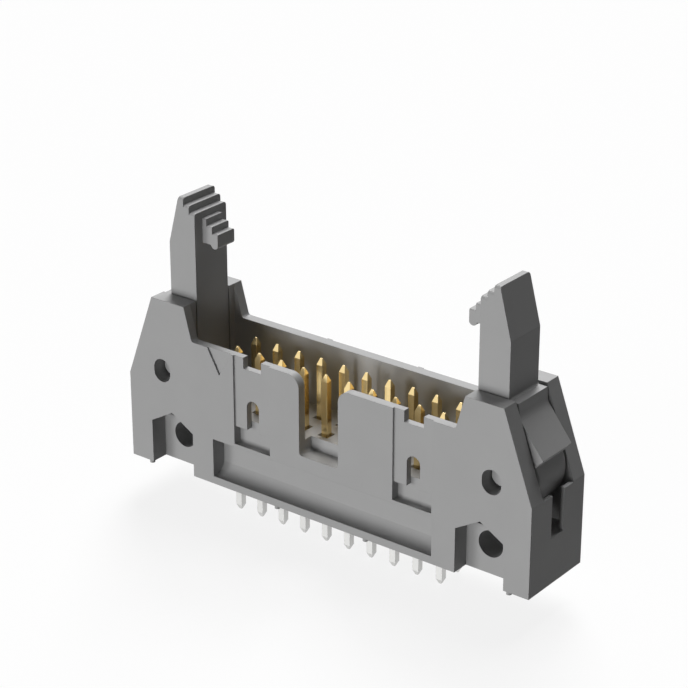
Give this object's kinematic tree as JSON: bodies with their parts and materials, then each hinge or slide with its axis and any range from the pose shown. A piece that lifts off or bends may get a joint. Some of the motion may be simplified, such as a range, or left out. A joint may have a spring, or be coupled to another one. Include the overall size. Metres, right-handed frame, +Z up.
{
  "type": "latching pin header",
  "caption": "Straight through-hole box header for flat cable, with a polarising slot, square pins and two hinged latches that lock and eject the plug.",
  "frame": {"origin": "centre of the contact field, on the surface of the board that the header stands on", "axes": "+X along the two rows, from the end with the contact 1 mark to the other end; -Y towards the front wall with the polarising slot; +Z up, out of the board"},
  "size_m": [0.0446, 0.0083, 0.0299],
  "materials": {
    "housing_plastic": "satin moulded grey",
    "latch_plastic": "satin moulded grey",
    "contact_metal": "gold plated post, tin plated tail"
  },
  "bodies": {
    "header": {"housing": "housing_plastic", "contact_01": "contact_metal", "contact_02": "contact_metal", "contact_03": "contact_metal", "contact_04": "contact_metal", "contact_05": "contact_metal", "contact_06": "contact_metal", "contact_07": "contact_metal", "contact_08": "contact_metal", "contact_09": "contact_metal", "contact_10": "contact_metal", "contact_11": "contact_metal", "contact_12": "contact_metal", "contact_13": "contact_metal", "contact_14": "contact_metal", "contact_15": "contact_metal", "contact_16": "contact_metal", "contact_17": "contact_metal", "contact_18": "contact_metal", "contact_19": "contact_metal", "contact_20": "contact_metal"},
    "latch_left": {"latch_left": "latch_plastic"},
    "latch_right": {"latch_right": "latch_plastic"}
  },
  "joints": [
    {"name": "latch_left_hinge", "type": "hinge", "parent": "header", "child": "latch_left", "pos_m": [-0.01828, 0, 0.01007], "axis": [0, -1, 0], "range_deg": [0, 42]},
    {"name": "latch_right_hinge", "type": "hinge", "parent": "header", "child": "latch_right", "pos_m": [0.01828, 0, 0.01007], "axis": [0, 1, 0], "range_deg": [0, 42]}
  ]
}
